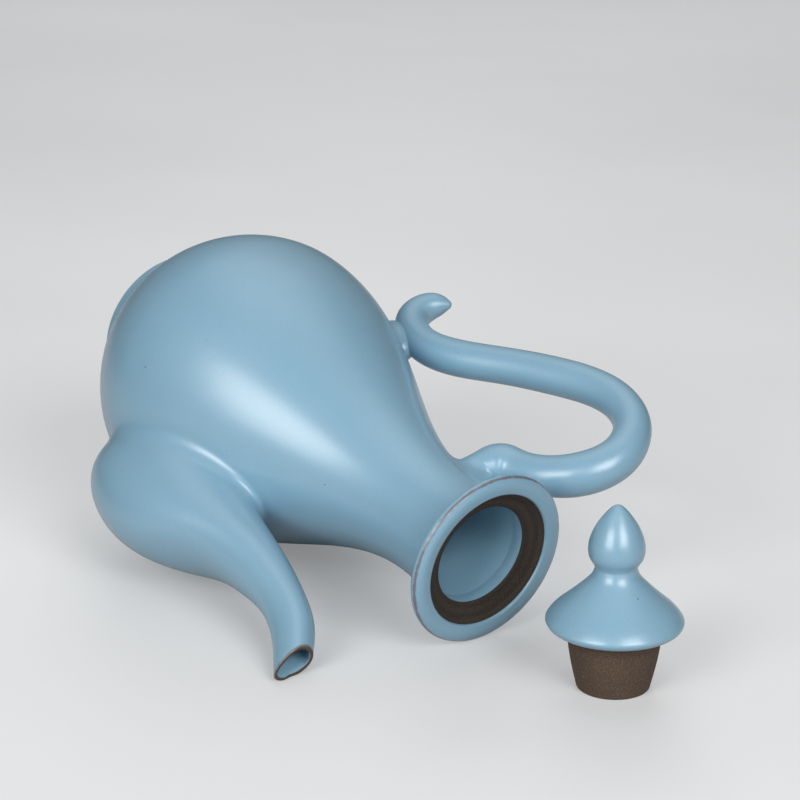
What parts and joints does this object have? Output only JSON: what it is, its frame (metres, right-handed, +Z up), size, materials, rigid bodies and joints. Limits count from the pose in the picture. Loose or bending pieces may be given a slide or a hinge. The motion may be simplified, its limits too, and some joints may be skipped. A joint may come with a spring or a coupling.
{
  "type": "porcelain teapot",
  "caption": "Sky-blue glazed ewer teapot lying on its side: pear body with slim flanged neck, S-curved spout, looped handle with curled tail, and its bud-knobbed lid standing by the mouth.",
  "frame": {"origin": "centre of the bounding box's underside, on the table that pot and lid rest on", "axes": "+X along the level heading of the pot's axis, towards its mouth; +Z up; the spout lies on the -Y side and the handle on the +Y side"},
  "size_m": [0.329, 0.191, 0.136],
  "materials": {
    "sky_glaze": "satin sky-blue celadon glaze",
    "foot_glaze": "satin sky-blue glaze with a bare brown standing edge",
    "rim_glaze": "satin sky-blue glaze, thin at the lip, with a bare brown lid seat",
    "spout_glaze": "satin sky-blue glaze, brown at the cut tip",
    "handle_glaze": "satin sky-blue glaze",
    "lid_glaze": "satin sky-blue glaze",
    "bare_clay": "unglazed grainy brown stoneware"
  },
  "bodies": {
    "pot": {"body_shell": "sky_glaze", "foot_ring": "foot_glaze", "mouth_rim": "rim_glaze", "spout": "spout_glaze", "handle": "handle_glaze", "handle_pad": "handle_glaze"},
    "lid": {"lid_plug": "bare_clay", "lid_cap": "lid_glaze", "lid_knob": "lid_glaze"}
  },
  "joints": [
    {"name": "lid_lift", "type": "slide", "parent": "pot", "child": "lid", "axis": [0, 0, 1], "range_m": [0, 0.15]}
  ]
}
